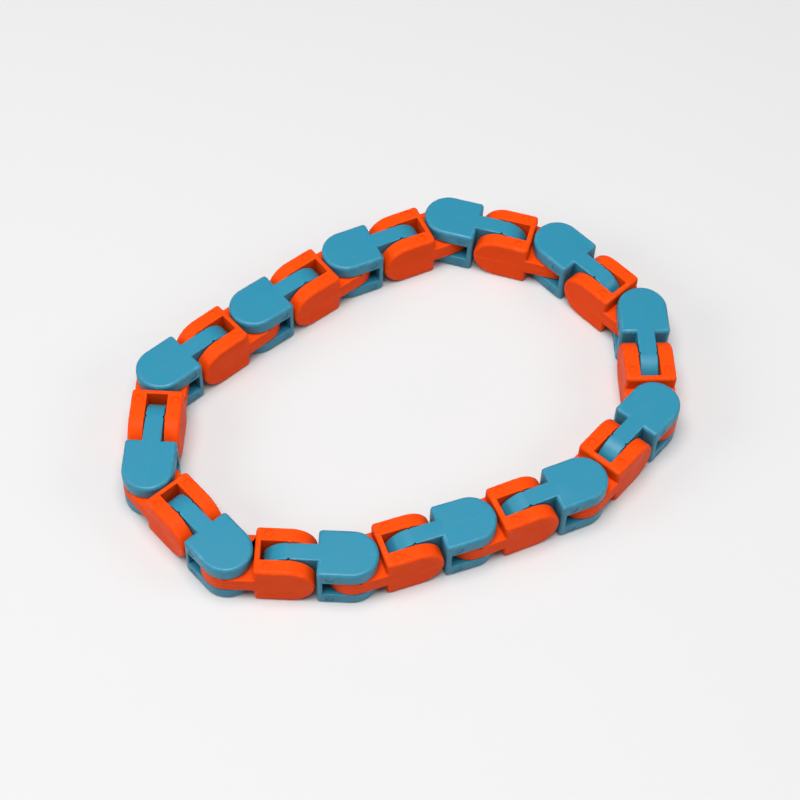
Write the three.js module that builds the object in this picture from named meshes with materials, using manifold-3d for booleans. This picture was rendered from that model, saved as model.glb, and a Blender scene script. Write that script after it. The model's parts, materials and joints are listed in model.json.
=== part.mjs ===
// Snap-together track puzzle: 24 moulded links, blue and orange in turn, closed in a ring.
//
// Every link has the same shape. A clevis (two rounded ears) is at one end and a tongue, turned
// a quarter turn about the link's length, is at the other. A link's tongue sits between the ears
// of the next link, so the pivots of the chain stand upright and lie level in turn.
// The ring lies flat: all its bends are at the upright pivots, which are in the blue links.
//
// Millimetres, +Z up, the ring's long way along X.

import * as THREE from 'three';
import Module from 'manifold-3d';

const wasm = await Module();
wasm.setup();

// ---- Sizes of one link ----
const linkWidth = 12;          // across the ears' flat faces' outline, and across their round end
const linkHeight = 12;         // over both ears, and from edge to edge of the tongue
const earThickness = 3.6;
const webThickness = 1.3;      // wall that joins ears and tongue
const rimBevel = 0.45;         // soft outer rim of the ears
const tongueBevel = 0.3;

// ---- Sizes of the pivot ----
const bossRadius = 1.9;        // round boss inside each ear
const bossGrip = 0.5;          // how far a boss reaches into the tongue
const ridgeWidth = 0.9;        // click ridge across an ear's inner face
const grooveWidth = 1.1;       // click groove in the tongue's side
const grooveDepth = 0.35;

// ---- Clearances ----
const sideGap = 0.25;          // a tongue's flat side to the ear beside it
const tipGap = 0.3;            // a rounded end to the wall in front of it
const bossGap = 0.08;          // boss to its dimple, all round and at its end
const ridgeGap = 0.07;         // click ridge to a tongue's flat side

// ---- The ring ----
const pairCount = 12;          // one blue and one orange link each
const firstHeading = -40;      // degrees, direction of the first pair
// Bends at the upright pivots, in degrees clockwise, from the second pair to the tenth.
// The last two pairs and the bend back into the first follow from closing the ring.
const bends = [30.5, 42, 42.5, 26, 4, 21.5, 46, 44.5, 46];

// ---- The opened pivot ----
// The chain of joints starts at this pair's blue link and ends at the orange link before it.
// That orange link has no tongue, and the two are trimmed to pass each other in every motion.
const openPair = 3;
const openWebTrim = 0.4;       // how far the orange link's web is set back
const openChamfer = 1;         // on the outer edges of that web's back
const openGap = 0.06;          // from the blue link's ears to that web when it tilts

const endArcSegments = 5;       // half the straight pieces of a round end
const bossSegments = 10;

const blue = { color: 0x3e9ab9, roughness: 0.42, metalness: 0 };
const orange = { color: 0xe24817, roughness: 0.45, metalness: 0 };

// ---- Worked out from the sizes ----
const tipRadius = linkWidth / 2;
const tongueTipRadius = linkHeight / 2;
const slotHeight = linkHeight - 2 * earThickness;
const tongueThickness = slotHeight - 2 * sideGap;
const webFront = Math.max(tipRadius, tongueTipRadius) + tipGap;
const webBack = webFront + webThickness;
const pitch = webBack + tipGap + Math.max(tipRadius, tongueTipRadius);
const ridgeHeight = Math.max(sideGap - ridgeGap, 0.02);
const bossHeight = sideGap + bossGrip;
const dimpleDepth = bossGrip + bossGap;
// The dimple's flats, not its corners, keep the gap to the boss.
const dimpleRadius = (bossRadius + bossGap) / Math.cos(Math.PI / bossSegments);

// ---- Joining and cutting ----

function toManifold(geometry) {
  const flat = geometry.index ? geometry.toNonIndexed() : geometry;
  const position = flat.getAttribute('position');
  const found = new Map();
  const vertices = [];
  const triangles = [];
  for (let i = 0; i < position.count; i += 1) {
    const point = [position.getX(i), position.getY(i), position.getZ(i)];
    const key = point.map((value) => Math.round(value * 1e5)).join(',');
    if (!found.has(key)) {
      found.set(key, vertices.length / 3);
      vertices.push(...point);
    }
    triangles.push(found.get(key));
  }
  const kept = [];
  for (let i = 0; i < triangles.length; i += 3) {
    const [a, b, c] = triangles.slice(i, i + 3);
    if (a !== b && b !== c && c !== a) {
      kept.push(a, b, c);
    }
  }
  return new wasm.Manifold(new wasm.Mesh({
    numProp: 3,
    vertProperties: new Float32Array(vertices),
    triVerts: new Uint32Array(kept),
  }));
}

function toGeometry(solid) {
  const mesh = solid.getMesh();
  const geometry = new THREE.BufferGeometry();
  const stride = mesh.numProp;
  const count = mesh.vertProperties.length / stride;
  const positions = new Float32Array(count * 3);
  for (let i = 0; i < count; i += 1) {
    positions.set(mesh.vertProperties.slice(i * stride, i * stride + 3), i * 3);
  }
  geometry.setAttribute('position', new THREE.BufferAttribute(positions, 3));
  geometry.setIndex(new THREE.BufferAttribute(new Uint32Array(mesh.triVerts), 1));
  return geometry.toNonIndexed();
}

// ---- Shapes of one link ----
// A link's clevis pivot is at its origin and upright. Its tongue is towards +X.

// Outline of a plate with one round end at the origin and a square end at x = length.
function roundEndedOutline(radius, length) {
  const outline = new THREE.Shape();
  outline.moveTo(length, radius);
  outline.lineTo(0, radius);
  outline.absarc(0, 0, radius, Math.PI / 2, Math.PI * 1.5, false);
  outline.lineTo(length, -radius);
  outline.closePath();
  return outline;
}

// The plate's rim is bevelled inwards on both faces, so its full size stays as given.
function roundEndedPlate(radius, length, thickness, bevel) {
  const geometry = new THREE.ExtrudeGeometry(roundEndedOutline(radius - bevel, length - bevel), {
    depth: thickness - 2 * bevel,
    bevelEnabled: true,
    bevelThickness: bevel,
    bevelSize: bevel,
    bevelSegments: 1,
    curveSegments: endArcSegments,
  });
  return geometry.translate(0, 0, bevel - thickness / 2);
}

function clevisBlock(webTrim) {
  return toManifold(roundEndedPlate(tipRadius, webBack - webTrim, linkHeight, rimBevel));
}

function clevisSlot() {
  const length = webFront + 2 * tipRadius;
  const slot = new THREE.BoxGeometry(length, linkWidth * 2, slotHeight);
  return toManifold(slot.translate(webFront - length / 2, 0, 0));
}

// The tongue stands across the ears: its faces look along Y and its round end along +X.
function tonguePlate() {
  const length = pitch - webFront;
  const plate = roundEndedPlate(tongueTipRadius, length, tongueThickness, tongueBevel);
  plate.rotateZ(Math.PI);
  plate.rotateX(Math.PI / 2);
  return toManifold(plate.translate(pitch, 0, 0));
}

function bosses() {
  return [1, -1].map((side) => {
    const overlap = earThickness / 2;
    const boss = new THREE.CylinderGeometry(
      bossRadius, bossRadius, bossHeight + overlap, bossSegments,
    );
    boss.rotateX(Math.PI / 2);
    const middle = slotHeight / 2 + (overlap - bossHeight) / 2;
    return toManifold(boss.translate(0, 0, side * middle));
  });
}

function dimples() {
  return [1, -1].map((side) => {
    const reach = dimpleDepth + tongueThickness;
    const dimple = new THREE.CylinderGeometry(dimpleRadius, dimpleRadius, reach, bossSegments);
    const middle = tongueThickness / 2 - dimpleDepth + reach / 2;
    return toManifold(dimple.translate(pitch, side * middle, 0));
  });
}

// A bar with a V section: its edge points along -Z, and it runs along Y.
function wedgeBar(width, height, length) {
  const section = new THREE.Shape();
  section.moveTo(-width / 2, 0);
  section.lineTo(0, -height);
  section.lineTo(width / 2, 0);
  section.closePath();
  const bar = new THREE.ExtrudeGeometry(section, { depth: length, bevelEnabled: false });
  bar.translate(0, 0, -length / 2);
  // The section's Y becomes Z, and the run becomes Y.
  return bar.rotateX(Math.PI / 2);
}

// Two short ridges on each ear's inner face, in line with the pivot and across the link.
function clickRidges() {
  const root = 0.2;
  const outerEnd = tipRadius - rimBevel;
  const length = outerEnd - bossRadius - bossGap;
  const solids = [];
  for (const side of [1, -1]) {
    for (const across of [1, -1]) {
      const share = (ridgeHeight + root) / ridgeHeight;
      const ridge = wedgeBar(ridgeWidth * share, ridgeHeight * share, length);
      ridge.translate(0, across * (outerEnd - length / 2), slotHeight / 2 + root);
      if (side < 0) {
        ridge.rotateX(Math.PI);
      }
      solids.push(toManifold(ridge));
    }
  }
  return solids;
}

// Two crossed grooves in each side of the tongue, for the straight and the quarter-turn clicks.
function clickGrooves() {
  const spill = 0.2;
  const share = (grooveDepth + spill) / grooveDepth;
  const solids = [];
  for (const side of [1, -1]) {
    for (const turn of [0, Math.PI / 2]) {
      const length = turn === 0 ? 4 * tongueTipRadius : 2 * (tongueTipRadius + tipGap);
      const groove = wedgeBar(grooveWidth * share, grooveDepth * share, length);
      groove.rotateZ(turn);
      groove.translate(0, 0, tongueThickness / 2 + spill);
      groove.rotateX(side * -Math.PI / 2);
      solids.push(toManifold(groove.translate(pitch, 0, 0)));
    }
  }
  return solids;
}

// Bars on their corners, along the four outer edges of the web's back in the link without tongue.
function webChamfers() {
  const side = openChamfer * Math.SQRT2;
  const x = webBack - openWebTrim;
  const solids = [];
  for (const sign of [1, -1]) {
    const across = new THREE.BoxGeometry(side, 2 * linkWidth, side).rotateY(Math.PI / 4);
    solids.push(toManifold(across.translate(x, 0, (sign * linkHeight) / 2)));
    const along = new THREE.BoxGeometry(side, side, 2 * linkHeight).rotateZ(Math.PI / 4);
    solids.push(toManifold(along.translate(x, (sign * linkWidth) / 2, 0)));
  }
  return solids;
}

// What the trimmed web's back needs when the link without tongue tilts about its own pivot:
// a cylinder about that pivot, placed as the blue link in front of it sees it.
function tiltRoom() {
  const back = webBack - openWebTrim;
  const half = linkWidth / 2;
  const reach = Math.max(
    Math.hypot(back - openChamfer, half), Math.hypot(back, half - openChamfer),
  );
  const radius = reach + openGap;
  const room = new THREE.CylinderGeometry(radius, radius, 4 * linkHeight, 96);
  room.translate(-pitch, 0, 0);
  return toManifold(room.rotateZ(THREE.MathUtils.degToRad(bends[openPair - 2])));
}

function linkSolid() {
  let solid = clevisBlock(0).subtract(clevisSlot()).add(tonguePlate());
  for (const cut of [...dimples(), ...clickGrooves()]) {
    solid = solid.subtract(cut);
  }
  return withInnerEars(solid);
}

function linkWithoutTongue() {
  let solid = clevisBlock(openWebTrim).subtract(clevisSlot());
  for (const cut of webChamfers()) {
    solid = solid.subtract(cut);
  }
  return withInnerEars(solid);
}

function withInnerEars(link) {
  let solid = link;
  for (const addition of [...bosses(), ...clickRidges()]) {
    solid = solid.add(addition);
  }
  return solid;
}

// ---- The ring's layout ----

// Directions of all the pairs, in degrees. The last two close the ring: they are equal sides
// of a triangle over the gap that is left.
function pairHeadings() {
  const headings = [firstHeading];
  for (const bend of bends) {
    headings.push(headings[headings.length - 1] - bend);
  }
  const reach = new THREE.Vector2();
  for (const heading of headings) {
    reach.add(step(heading, 2 * pitch));
  }
  const back = reach.clone().negate();
  const middle = THREE.MathUtils.radToDeg(back.angle());
  const half = THREE.MathUtils.radToDeg(Math.acos(back.length() / (4 * pitch)));
  headings.push(middle + half, middle - half);
  return headings;
}

function step(heading, length) {
  const angle = THREE.MathUtils.degToRad(heading);
  return new THREE.Vector2(Math.cos(angle), Math.sin(angle)).multiplyScalar(length);
}

function twoDigits(number) {
  return String(number).padStart(2, '0');
}

function addLink(parent, name, look, geometry, place, heading, quarterTurn) {
  const material = new THREE.MeshStandardMaterial(look);
  const mesh = new THREE.Mesh(geometry, material);
  mesh.name = name;
  mesh.rotation.x = quarterTurn ? Math.PI / 2 : 0;
  const holder = new THREE.Group();
  holder.position.set(place.x, place.y, 0);
  holder.rotation.z = THREE.MathUtils.degToRad(heading);
  holder.add(mesh);
  parent.add(holder);
}

const link = linkSolid();
const usual = toGeometry(link);
const first = toGeometry(link.subtract(tiltRoom()));
const last = toGeometry(linkWithoutTongue());
const ring = new THREE.Group();
const place = new THREE.Vector2();
pairHeadings().slice(0, pairCount).forEach((heading, index) => {
  const number = twoDigits(index + 1);
  const blueShape = index + 1 === openPair ? first : usual;
  const orangeShape = index + 2 === openPair ? last : usual;
  addLink(ring, `blue_link_${number}`, blue, blueShape, place, heading, false);
  place.add(step(heading, pitch));
  addLink(ring, `orange_link_${number}`, orange, orangeShape, place, heading, true);
  place.add(step(heading, pitch));
});

// The middle of the ring's box is put over the origin, and its lowest face on Z = 0.
ring.updateMatrixWorld(true);
const box = new THREE.Box3().setFromObject(ring, true);
const centre = box.getCenter(new THREE.Vector3());
ring.position.set(-centre.x, -centre.y, -box.min.z);

const group = new THREE.Group();
group.name = 'twisty_track_puzzle';
group.add(ring);

export default group;
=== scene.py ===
"""Looks for the ring of snap-together track links.

Each moulded link is one detailed mesh, placed by the frame's joints. Lengths are in metres.
"""

import json
import math

import bmesh
import bpy
from mathutils import Matrix, Vector


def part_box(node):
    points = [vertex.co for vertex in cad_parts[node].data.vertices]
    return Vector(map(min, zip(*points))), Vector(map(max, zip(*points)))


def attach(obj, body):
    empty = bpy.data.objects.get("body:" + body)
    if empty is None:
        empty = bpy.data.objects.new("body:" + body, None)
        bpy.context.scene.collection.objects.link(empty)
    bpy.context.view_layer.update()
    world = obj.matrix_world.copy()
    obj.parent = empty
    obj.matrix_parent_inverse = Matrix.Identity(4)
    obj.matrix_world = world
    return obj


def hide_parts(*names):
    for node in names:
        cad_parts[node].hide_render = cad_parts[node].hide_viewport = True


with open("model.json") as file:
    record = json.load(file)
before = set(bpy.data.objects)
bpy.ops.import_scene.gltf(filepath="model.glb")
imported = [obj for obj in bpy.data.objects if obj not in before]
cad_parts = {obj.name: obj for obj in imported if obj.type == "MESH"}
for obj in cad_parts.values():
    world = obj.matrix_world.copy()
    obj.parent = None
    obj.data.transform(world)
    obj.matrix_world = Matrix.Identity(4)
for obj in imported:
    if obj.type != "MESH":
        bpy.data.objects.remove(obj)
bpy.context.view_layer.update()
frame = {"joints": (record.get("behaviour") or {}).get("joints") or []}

# ---- The ring, as the frame's joints lay it out ----

PAIR_COUNT = 12
OPEN_PAIR = 3
UP = Vector((0, 0, 1))


def joint_places():
    """{joint name: its place at rest}."""
    return {j["name"]: Vector(j["pos_m"]) for j in frame["joints"]}


def pivot_places():
    """The upright and the level pivots of the pairs, as two dicts keyed by the pair's number.

    The opened pivot has no joint: it lies as far before its pair's level pivot as the next
    upright pivot lies after it.
    """
    places = joint_places()
    pairs = range(1, PAIR_COUNT + 1)
    level = {n: places[f"tilt_{n:02d}"] for n in pairs}
    upright = {n: places[f"bend_{n:02d}"] for n in pairs if n != OPEN_PAIR}
    upright[OPEN_PAIR] = 2 * level[OPEN_PAIR] - upright[OPEN_PAIR + 1]
    return upright, level


UPRIGHT, LEVEL = pivot_places()


def height_of(node):
    low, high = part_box(node)
    return high[2] - low[2]


# ---- Sizes of one link ----
# All the links are alike, so the pair below gives the sizes that the frame knows.
# An orange link lies on its side, so its height is a link's width.

MM = 0.001
MEASURED_PAIR = 6
LINK_HEIGHT = height_of(f"blue_link_{MEASURED_PAIR:02d}")
LINK_WIDTH = height_of(f"orange_link_{MEASURED_PAIR:02d}")
PITCH = (LEVEL[MEASURED_PAIR] - UPRIGHT[MEASURED_PAIR]).length

EAR = 3.6 * MM
TONGUE = 4.3 * MM
WEB = 1.3 * MM
SLOT = LINK_HEIGHT - 2 * EAR
SIDE_GAP = (SLOT - TONGUE) / 2
TIP_GAP = (PITCH - WEB - LINK_WIDTH) / 2
WEB_FRONT = LINK_WIDTH / 2 + TIP_GAP
WEB_BACK = WEB_FRONT + WEB
ROOT = 0.25 * MM  # how far tongue, bosses and ridges reach into what they stand on
OPENED_TONGUE_TRIM = 0.05 * MM

RIM_RADIUS = 0.85 * MM
TONGUE_RADIUS = 0.32 * MM
SLOT_RADIUS = 0.22 * MM
ARC_STEPS = 28
BEVEL_STEPS = 4
ROUNDED_ANGLE = math.radians(30)  # sharper edges are rounded
SHARP_ANGLE = math.radians(38)  # sharper edges shade as edges
NEAR = 0.02 * MM

BOSS_RADIUS = 1.9 * MM
BOSS_GRIP = 0.5 * MM
BOSS_GAP = 0.1 * MM
RIDGE_WIDTH = 0.9 * MM
RIDGE_GAP = 0.07 * MM
RIDGE_HEIGHT = SIDE_GAP - RIDGE_GAP
GROOVE_WIDTH = 1.1 * MM
GROOVE_DEPTH = 0.42 * MM
GROOVE_SPILL = 0.3 * MM  # how far its tool stands out of the tongue
PIN_MARK_X = WEB_FRONT - 1.6 * MM
PIN_MARK_Z = (SLOT + EAR) / 2
PIN_MARK_RADIUS = 0.95 * MM
PIN_MARK_DEPTH = 0.12 * MM
PIN_MARK_STEPS = 32

# ---- Mesh helpers ----


def mesh_from(name, bm):
    bmesh.ops.recalc_face_normals(bm, faces=bm.faces)
    mesh = bpy.data.meshes.new(name)
    bm.to_mesh(mesh)
    bm.free()
    return mesh


def prism(name, outline, thickness):
    """The outline, a list of (x, y), made into a plate centred on Z = 0."""
    bm = bmesh.new()
    low = [bm.verts.new((x, y, -thickness / 2)) for x, y in outline]
    high = [bm.verts.new((x, y, thickness / 2)) for x, y in outline]
    bm.faces.new(reversed(low))
    bm.faces.new(high)
    for i in range(len(outline)):
        j = (i + 1) % len(outline)
        bm.faces.new((low[i], low[j], high[j], high[i]))
    return mesh_from(name, bm)


def arc(radius, start, end, steps):
    """Points on a circle round the origin, both ends included."""
    turns = [start + (end - start) * i / steps for i in range(steps + 1)]
    return [(radius * math.cos(t), radius * math.sin(t)) for t in turns]


def round_ended(radius, length):
    """Outline with a half circle round the origin and a square end at x = length."""
    half = arc(radius, math.pi / 2, 1.5 * math.pi, ARC_STEPS)
    return [(length, radius), *half, (length, -radius)]


def disc(name, radius, thickness, steps=40):
    last = 2 * math.pi * (steps - 1) / steps
    return prism(name, arc(radius, 0, last, steps - 1), thickness)


def wedge_bar(name, width, height, length):
    """A bar along Y with a V section, whose edge points along -Z."""
    mesh = prism(name, [(-width / 2, 0), (0, -height), (width / 2, 0)], length)
    mesh.transform(Matrix.Rotation(math.pi / 2, 4, "X"))
    return mesh


def placed(mesh, *steps):
    """The mesh after the given matrices, the first one first."""
    for step in steps:
        mesh.transform(step)
    return mesh


def shift(x=0.0, y=0.0, z=0.0):
    return Matrix.Translation((x, y, z))


def turn(degrees, axis):
    return Matrix.Rotation(math.radians(degrees), 4, axis)


def evaluated(obj):
    """A new mesh of the object with its modifiers applied."""
    graph = bpy.context.evaluated_depsgraph_get()
    return bpy.data.meshes.new_from_object(obj.evaluated_get(graph), depsgraph=graph)


def combined(mesh, tools, operation):
    """The mesh after a boolean with each tool mesh in turn."""
    obj = bpy.data.objects.new("work", mesh)
    bpy.context.collection.objects.link(obj)
    for tool in tools:
        other = bpy.data.objects.new("tool", tool)
        bpy.context.collection.objects.link(other)
        modifier = obj.modifiers.new("combine", "BOOLEAN")
        modifier.operation = operation
        modifier.solver = "EXACT"
        modifier.object = other
        bpy.context.view_layer.update()
        made = evaluated(obj)
        obj.modifiers.clear()
        obj.data = made
        bpy.data.objects.remove(other)
    made = obj.data
    bpy.data.objects.remove(obj)
    return made


def rounded(mesh, radius_of):
    """The mesh with its sharp edges rounded, each to its own radius."""
    bm = bmesh.new()
    bm.from_mesh(mesh)
    bmesh.ops.remove_doubles(bm, verts=bm.verts, dist=0.001 * MM)
    weight = bm.edges.layers.float.new("bevel_weight_edge")
    for edge in bm.edges:
        if len(edge.link_faces) == 2 and edge.calc_face_angle() > ROUNDED_ANGLE:
            edge[weight] = radius_of(edge) / RIM_RADIUS
    obj = bpy.data.objects.new("work", mesh_from("sharp", bm))
    bpy.context.collection.objects.link(obj)
    bevel = obj.modifiers.new("round", "BEVEL")
    bevel.limit_method = "WEIGHT"
    bevel.width = RIM_RADIUS
    bevel.segments = BEVEL_STEPS
    bevel.use_clamp_overlap = False
    bpy.context.view_layer.update()
    made = evaluated(obj)
    bpy.data.objects.remove(obj)
    return made


# ---- One link ----
# The clevis pivot is at the origin and upright, and the tongue points along +X.


def clevis_edge_radius(edge):
    """Soft outer rims, and crisp edges inside the slot. Inner corners stay sharp."""
    middle = (edge.verts[0].co + edge.verts[1].co) / 2
    in_slot = abs(middle.z) < SLOT / 2 + NEAR and middle.x < WEB_FRONT + NEAR
    if not edge.is_convex:
        return 0.0
    return SLOT_RADIUS if in_slot else RIM_RADIUS


def clevis():
    """Both ears and the web."""
    body = prism("clevis", round_ended(LINK_WIDTH / 2, WEB_BACK), LINK_HEIGHT)
    start, side = -3 * LINK_WIDTH, LINK_WIDTH
    corners = [(start, -side), (WEB_FRONT, -side), (WEB_FRONT, side), (start, side)]
    slot = prism("slot", corners, SLOT)
    return rounded(combined(body, [slot], "DIFFERENCE"), clevis_edge_radius)


def tongue(trim):
    """The plate across the ears, shorter by the trim. Its square end is hidden in the web."""
    length = PITCH - WEB_FRONT - ROOT
    plate = prism("tongue", round_ended(LINK_HEIGHT / 2 - trim, length), TONGUE)

    def radius(edge):
        at_root = all(v.co.x > length - NEAR for v in edge.verts)
        return 0.0 if at_root else TONGUE_RADIUS

    return placed(rounded(plate, radius), turn(180, "Z"), turn(90, "X"), shift(x=PITCH))


def tongue_cuts():
    """Tools for the click grooves and pivot dimples on both sides of the tongue."""
    share = (GROOVE_DEPTH + GROOVE_SPILL) / GROOVE_DEPTH
    up = shift(z=TONGUE / 2 + GROOVE_SPILL)
    lengths = {0: 3 * LINK_HEIGHT, 90: LINK_HEIGHT + 2 * TIP_GAP}
    cuts = []
    for side in (1, -1):
        over = turn(-90 * side, "X")
        for degrees, length in lengths.items():
            bar = wedge_bar("groove", GROOVE_WIDTH * share, GROOVE_DEPTH * share, length)
            cuts.append(placed(bar, turn(degrees, "Z"), up, over, shift(x=PITCH)))
        hole = disc("dimple", BOSS_RADIUS + BOSS_GAP, 2 * (BOSS_GRIP + BOSS_GAP))
        cuts.append(placed(hole, turn(90, "X"), shift(PITCH, side * TONGUE / 2, 0)))
    return cuts


def ear_additions():
    """Pivot bosses and click ridges inside both ears."""
    boss_height = SIDE_GAP + BOSS_GRIP
    share = (RIDGE_HEIGHT + ROOT) / RIDGE_HEIGHT
    start = BOSS_RADIUS
    end = LINK_WIDTH / 2 - SLOT_RADIUS
    parts = []
    for side in (0, 180):
        boss = disc("boss", BOSS_RADIUS, boss_height + ROOT)
        rise = shift(z=SLOT / 2 + (ROOT - boss_height) / 2)
        parts.append(placed(boss, rise, turn(side, "X")))
        for across in (1, -1):
            bar = wedge_bar("ridge", RIDGE_WIDTH * share, RIDGE_HEIGHT * share, end - start)
            move = shift(y=across * (start + end) / 2, z=SLOT / 2 + ROOT)
            parts.append(placed(bar, move, turn(side, "X")))
    return parts


def pin_marks():
    """Tools for the shallow round marks of the mould's ejector pins, on the narrow sides of the ears."""
    marks = []
    for across in (1, -1):
        for ear in (1, -1):
            mark = disc("pin_mark", PIN_MARK_RADIUS, 2 * PIN_MARK_DEPTH, PIN_MARK_STEPS)
            place = (PIN_MARK_X, across * LINK_WIDTH / 2, ear * PIN_MARK_Z)
            marks.append(placed(mark, turn(90, "X"), shift(*place)))
    return marks


def mark_rims(mesh):
    """Marks the narrow faces of rounded edges, where the plastic wears."""
    narrow = 0.4 * MM
    values = []
    for face in mesh.polygons:
        points = [mesh.vertices[i].co for i in face.vertices]
        longest = max((a - b).length for a, b in zip(points, points[1:] + points[:1]))
        values.append(1.0 if face.area < narrow * longest else 0.0)
    layer = mesh.attributes.new("rim", "FLOAT", "FACE")
    layer.data.foreach_set("value", values)


def finished_link(name, tongue_trim=0.0):
    mesh = combined(clevis(), [tongue(tongue_trim)], "UNION")
    mesh = combined(mesh, tongue_cuts() + pin_marks(), "DIFFERENCE")
    mesh = combined(mesh, ear_additions(), "UNION")
    mesh.name = name
    mark_rims(mesh)
    mesh.polygons.foreach_set("use_smooth", [True] * len(mesh.polygons))
    mesh.set_sharp_from_angle(angle=SHARP_ANGLE)
    return mesh


# ---- Materials ----

FLOW_SIZE = 5 * MM
RIPPLE_SIZE = 2.4 * MM
WEAR_SIZE = 1.4 * MM
DUST_SIZE = 0.55 * MM
GRAIN_SIZE = 0.22 * MM
SCRATCH_WIDTH = 0.16 * MM
SCRATCH_LENGTH = 9 * MM
SCRATCH_PATCH = 4.5 * MM
SEAM_PATCH = 7 * MM


class Tree:
    """A few shortcuts for building one material's nodes."""

    def __init__(self, name):
        self.material = bpy.data.materials.new(name)
        self.material.use_nodes = True
        self.nodes = self.material.node_tree.nodes
        self.links = self.material.node_tree.links
        self.shader = self.nodes["Principled BSDF"]

    def feed(self, socket, value):
        if isinstance(value, bpy.types.NodeSocket):
            self.links.new(value, socket)
        else:
            socket.default_value = value

    def attribute(self, name):
        node = self.nodes.new("ShaderNodeAttribute")
        node.attribute_name = name
        return node

    def maths(self, operation, first, second=0.0):
        node = self.nodes.new("ShaderNodeMath")
        node.operation = operation
        self.feed(node.inputs[0], first)
        self.feed(node.inputs[1], second)
        return node.outputs[0]

    def fade(self, value, low, high, out_low=0.0, out_high=1.0):
        node = self.nodes.new("ShaderNodeMapRange")
        node.interpolation_type = "SMOOTHSTEP"
        ends = (value, low, high, out_low, out_high)
        for socket, item in zip(node.inputs[:5], ends):
            self.feed(socket, item)
        return node.outputs[0]

    def noise(self, place, seed, size, detail=2.0, roughness=0.5):
        node = self.nodes.new("ShaderNodeTexNoise")
        node.noise_dimensions = "4D"
        self.feed(node.inputs["Vector"], place)
        self.feed(node.inputs["W"], seed)
        self.feed(node.inputs["Scale"], 1 / size)
        self.feed(node.inputs["Detail"], detail)
        self.feed(node.inputs["Roughness"], roughness)
        return node.outputs["Fac"]

    def mix(self, amount, first, second):
        node = self.nodes.new("ShaderNodeMix")
        node.data_type = "RGBA"
        self.feed(node.inputs[0], amount)
        self.feed(node.inputs[6], first)
        self.feed(node.inputs[7], second)
        return node.outputs[2]

    def stretched(self, place, degrees, times):
        node = self.nodes.new("ShaderNodeMapping")
        self.feed(node.inputs["Vector"], place)
        node.inputs["Rotation"].default_value = [math.radians(d) for d in degrees]
        node.inputs["Scale"].default_value = (1 / times, 1, 1)
        return node.outputs["Vector"]


def scratches(tree, place, seed):
    """0 to 1, high on fine straight scratches in two directions."""
    total = None
    for degrees, offset in (((12, 8, 24), 3.1), ((20, -15, -52), 7.7)):
        line_place = tree.stretched(place, degrees, SCRATCH_LENGTH / SCRATCH_WIDTH)
        moved = tree.maths("ADD", seed, offset)
        lines = tree.noise(line_place, moved, SCRATCH_WIDTH, detail=0.0)
        thin = tree.fade(lines, 0.735, 0.79)
        where = tree.noise(place, moved, SCRATCH_PATCH, detail=1.0)
        shown = tree.maths("MULTIPLY", thin, tree.fade(where, 0.47, 0.62))
        total = shown if total is None else tree.maths("MAXIMUM", total, shown)
    return total


def painted_pin_shade(tree, split):
    """0 to 1, high on the edge of each ejector pin's mark, on the sides of the ears; this is painted
    shade, standing in for the shade of the mark's shallow wall.
    """
    side = LINK_WIDTH / 2
    along = tree.maths("SUBTRACT", split.outputs["X"], PIN_MARK_X)
    up = tree.maths("SUBTRACT", tree.maths("ABSOLUTE", split.outputs["Z"]), PIN_MARK_Z)
    squares = [tree.maths("MULTIPLY", v, v) for v in (along, up)]
    distance = tree.maths("SQRT", tree.maths("ADD", *squares))
    off = tree.maths("ABSOLUTE", tree.maths("SUBTRACT", distance, PIN_MARK_RADIUS))
    pin_shade_ring = tree.fade(off, 0.06 * MM, 0.24 * MM, 1.0, 0.0)
    width = tree.maths("ABSOLUTE", split.outputs["Y"])
    return tree.maths("MULTIPLY", pin_shade_ring, tree.fade(width, side - 0.3 * MM, side - 0.15 * MM))


def parting_line(tree, place, split, seed):
    """0 to 1, high on the mould's parting line, which runs round the link at y = 0."""
    off = tree.maths("ABSOLUTE", split.outputs["Y"])
    line = tree.fade(off, 0.035 * MM, 0.11 * MM, 1.0, 0.0)
    patchy = tree.fade(tree.noise(place, seed, SEAM_PATCH, detail=1.0), 0.42, 0.6)
    return tree.maths("MULTIPLY", line, patchy)


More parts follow.
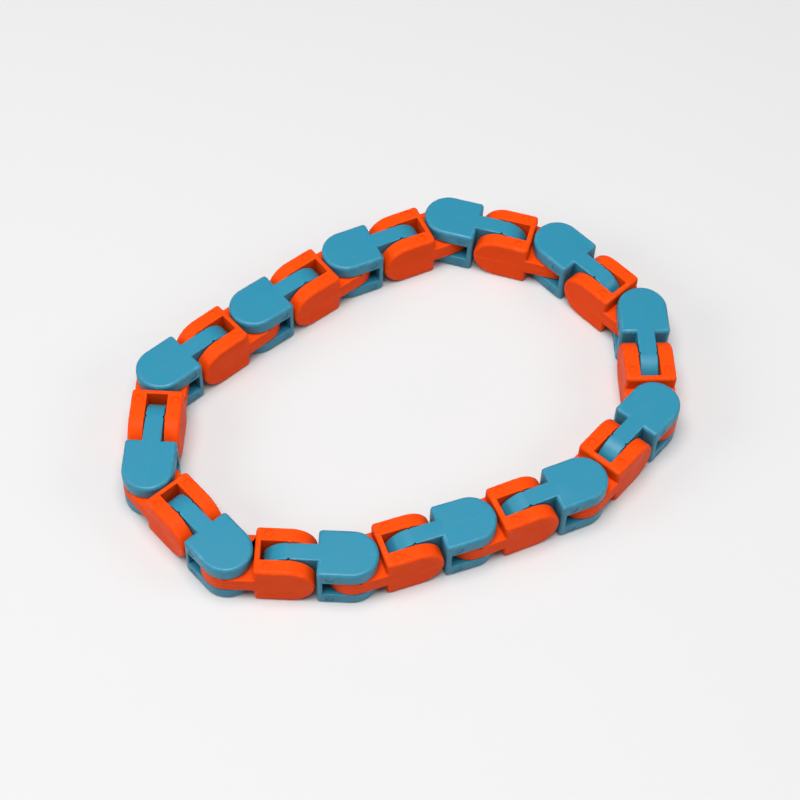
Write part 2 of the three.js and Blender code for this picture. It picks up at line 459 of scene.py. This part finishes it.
def moulded_plastic(name, colour, pale, deep, painted_shade, roughness, shine, seam_strength):
    """Plastic that drifts from colour to deep and is pale where it is rubbed, with painted shade in a
    dark ring round each ejector pin mark.
    """
    tree = Tree(name)
    place = tree.attribute("own_place").outputs["Vector"]
    seed = tree.attribute("moulding").outputs["Fac"]
    rim = tree.attribute("rim")

    flow = tree.fade(tree.noise(place, seed, FLOW_SIZE, detail=3.0), 0.3, 0.7)
    grain = tree.noise(place, seed, GRAIN_SIZE, detail=3.0, roughness=0.6)
    ripple = tree.noise(place, seed, RIPPLE_SIZE, detail=1.0)
    lines = scratches(tree, place, seed)
    split = tree.nodes.new("ShaderNodeSeparateXYZ")
    tree.feed(split.inputs[0], place)
    seam = tree.maths("MULTIPLY", parting_line(tree, place, split, seed), seam_strength)
    # painted shade: a dark ring round each ejector pin mark, in place of the shade of its shallow recess
    pin_shade = painted_pin_shade(tree, split)
    rubbed = tree.noise(place, seed, WEAR_SIZE, detail=4.0, roughness=0.65)
    wear = tree.maths("MULTIPLY", rim.outputs["Fac"], tree.fade(rubbed, 0.46, 0.68))
    dust = tree.fade(tree.noise(place, seed, DUST_SIZE, detail=1.0), 0.74, 0.8)

    base = tree.mix(tree.maths("MULTIPLY", flow, 0.55), colour, deep)
    base = tree.mix(tree.maths("MULTIPLY", grain, 0.1), base, pale)
    base = tree.mix(tree.maths("MULTIPLY", wear, 0.3), base, pale)
    base = tree.mix(tree.maths("MULTIPLY", lines, 0.16), base, pale)
    base = tree.mix(tree.maths("MULTIPLY", seam, 0.75), base, pale)
    base = tree.mix(tree.maths("MULTIPLY", dust, 0.12), base, pale)
    # mixes in the painted shade round the pin marks
    base = tree.mix(tree.maths("MULTIPLY", pin_shade, 0.25), base, painted_shade)
    tree.feed(tree.shader.inputs["Base Color"], base)

    rough = tree.fade(flow, 0.0, 1.0, roughness - 0.04, roughness + 0.05)
    rough = tree.maths("ADD", rough, tree.maths("MULTIPLY", lines, 0.14))
    rough = tree.maths("SUBTRACT", rough, tree.maths("MULTIPLY", wear, 0.09))
    tree.feed(tree.shader.inputs["Roughness"], rough)
    tree.shader.inputs["Specular IOR Level"].default_value = shine

    height = tree.maths("MULTIPLY", grain, 0.006 * MM)
    height = tree.maths("ADD", height, tree.maths("MULTIPLY", ripple, 0.02 * MM))
    height = tree.maths("ADD", height, tree.maths("MULTIPLY", seam, 0.05 * MM))
    height = tree.maths("SUBTRACT", height, tree.maths("MULTIPLY", lines, 0.008 * MM))
    bump = tree.nodes.new("ShaderNodeBump")
    bump.inputs["Distance"].default_value = 1.0
    bump.inputs["Strength"].default_value = 1.0
    tree.feed(bump.inputs["Height"], height)
    tree.feed(tree.shader.inputs["Normal"], bump.outputs["Normal"])
    return tree.material


def blue_plastic():
    return moulded_plastic(
        "blue_plastic",
        colour=(0.014, 0.192, 0.298, 1),
        pale=(0.11, 0.3, 0.4, 1),
        deep=(0.011, 0.175, 0.277, 1),
        # the painted shade colour, used only for the rings round the pin marks
        painted_shade=(0.004, 0.08, 0.13, 1),
        roughness=0.4,
        shine=0.33,
        seam_strength=0.15,
    )


def orange_plastic():
    return moulded_plastic(
        "orange_plastic",
        colour=(0.75, 0.056, 0.002, 1),
        pale=(0.88, 0.12, 0.03, 1),
        deep=(0.7, 0.049, 0.001, 1),
        # the painted shade colour, used only for the rings round the pin marks
        painted_shade=(0.4, 0.015, 0.001, 1),
        roughness=0.42,
        shine=0.04,
        seam_strength=1.0,
    )


def floor_material():
    tree = Tree("pale_floor")
    place = tree.nodes.new("ShaderNodeTexCoord").outputs["Object"]
    tone = tree.noise(place, 0.0, 0.4, detail=2.0)
    base = tree.mix(tone, (0.55, 0.55, 0.555, 1), (0.58, 0.58, 0.58, 1))
    tree.feed(tree.shader.inputs["Base Color"], base)
    tree.shader.inputs["Roughness"].default_value = 0.7
    tree.shader.inputs["Specular IOR Level"].default_value = 0.2
    return tree.material


# ---- Placing the links ----

LOT_STEP = 1.37  # sets the links' noise apart


def link_matrix(own_pivot, next_pivot, pivot_axis):
    along = (next_pivot - own_pivot).normalized()
    side = pivot_axis.cross(along)
    turned = Matrix((along, side, pivot_axis)).transposed().to_4x4()
    return Matrix.Translation(own_pivot) @ turned


def add_link(node, shape, material, matrix, number):
    """One link's piece. Its own place for each point is kept, so that the looks move with it."""
    mesh = shape.copy()
    mesh.name = node
    lot = mesh.attributes.new("moulding", "FLOAT", "POINT")
    lot.data.foreach_set("value", [number * LOT_STEP] * len(mesh.vertices))
    own = mesh.attributes.new("own_place", "FLOAT_VECTOR", "POINT")
    own.data.foreach_set("vector", [c for v in mesh.vertices for c in v.co])
    mesh.transform(matrix)
    mesh.materials.clear()
    mesh.materials.append(material)
    piece = bpy.data.objects.new(f"{node}_moulding", mesh)
    bpy.context.collection.objects.link(piece)
    normals = piece.modifiers.new("normals", "WEIGHTED_NORMAL")
    normals.keep_sharp = True
    normals.weight = 80
    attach(piece, node)
    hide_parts(node)


def add_ring():
    """All the links.

    The CAD has no tongue on the link before the opened pivot, to let the chain of joints move.
    The real one is drawn, trimmed by a hair to stay inside the CAD model's box.
    """
    usual = finished_link("link")
    before_opening = finished_link("link_before_opening", OPENED_TONGUE_TRIM)
    blue, orange = blue_plastic(), orange_plastic()
    for number in range(1, PAIR_COUNT + 1):
        after = number % PAIR_COUNT + 1
        matrix = link_matrix(UPRIGHT[number], LEVEL[number], UP)
        add_link(f"blue_link_{number:02d}", usual, blue, matrix, 2 * number)
        mesh = before_opening if after == OPEN_PAIR else usual
        along = (UPRIGHT[after] - LEVEL[number]).normalized()
        matrix = link_matrix(LEVEL[number], UPRIGHT[after], along.cross(UP))
        name = f"orange_link_{number:02d}"
        add_link(name, mesh, orange, matrix, 2 * number + 1)


# ---- Floor, lights and camera ----

CAMERA_AZIMUTH = -26.68
CAMERA_ELEVATION = 55.67
CAMERA_ROLL = 2.62
CAMERA_DISTANCE = 0.4712
CAMERA_TARGET = Vector((0.0012, 0.0024, 0))
CAMERA_LENS = 88.8
FLOOR_HALF = 3.0


def add_floor():
    mesh = bpy.data.meshes.new("floor")
    signs = ((-1, -1), (1, -1), (1, 1), (-1, 1))
    corners = [(x * FLOOR_HALF, y * FLOOR_HALF, 0) for x, y in signs]
    mesh.from_pydata(corners, [], [(0, 1, 2, 3)])
    floor = bpy.data.objects.new("floor", mesh)
    bpy.context.collection.objects.link(floor)
    mesh.materials.append(floor_material())


def direction(azimuth, elevation):
    """Unit vector towards a viewer. Azimuth 0 is in front, at -Y, and grows towards +X."""
    turned, raised = math.radians(azimuth), math.radians(elevation)
    level = math.cos(raised)
    return Vector((math.sin(turned) * level, -math.cos(turned) * level, math.sin(raised)))


def add_softbox(name, azimuth, elevation, distance, size, power):
    """A round lamp that faces the origin. Its azimuth is counted from the camera's."""
    light = bpy.data.lights.new(name, "AREA")
    light.shape = "DISK"
    light.size = size
    light.energy = power
    lamp = bpy.data.objects.new(name, light)
    bpy.context.collection.objects.link(lamp)
    back = direction(CAMERA_AZIMUTH + azimuth, elevation)
    lamp.location = back * distance
    lamp.rotation_euler = back.to_track_quat("Z", "Y").to_euler()


def add_lights():
    add_softbox("top_softbox", azimuth=-30, elevation=82, distance=1.0, size=0.7, power=12.6)
    add_softbox("left_softbox", azimuth=-75, elevation=32, distance=0.9, size=0.45, power=2.6)
    add_softbox("right_softbox", azimuth=80, elevation=35, distance=0.9, size=0.45, power=1.6)
    world = bpy.data.worlds.new("studio")
    world.use_nodes = True
    background = world.node_tree.nodes["Background"]
    background.inputs["Color"].default_value = (1, 1, 1, 1)
    background.inputs["Strength"].default_value = 0.18
    bpy.context.scene.world = world


def add_camera():
    camera = bpy.data.cameras.new("camera")
    camera.lens = CAMERA_LENS
    camera.sensor_width = 36
    camera.clip_start = 0.01
    holder = bpy.data.objects.new("camera", camera)
    bpy.context.collection.objects.link(holder)
    back = direction(CAMERA_AZIMUTH, CAMERA_ELEVATION)
    look = back.to_track_quat("Z", "Y").to_matrix().to_4x4()
    place = Matrix.Translation(CAMERA_TARGET + back * CAMERA_DISTANCE)
    holder.matrix_world = place @ look @ turn(CAMERA_ROLL, "Z")
    bpy.context.scene.camera = holder


def set_colours():
    settings = bpy.context.scene.view_settings
    settings.view_transform = "Standard"
    settings.look = "None"


add_ring()
add_floor()
add_lights()
add_camera()
set_colours()
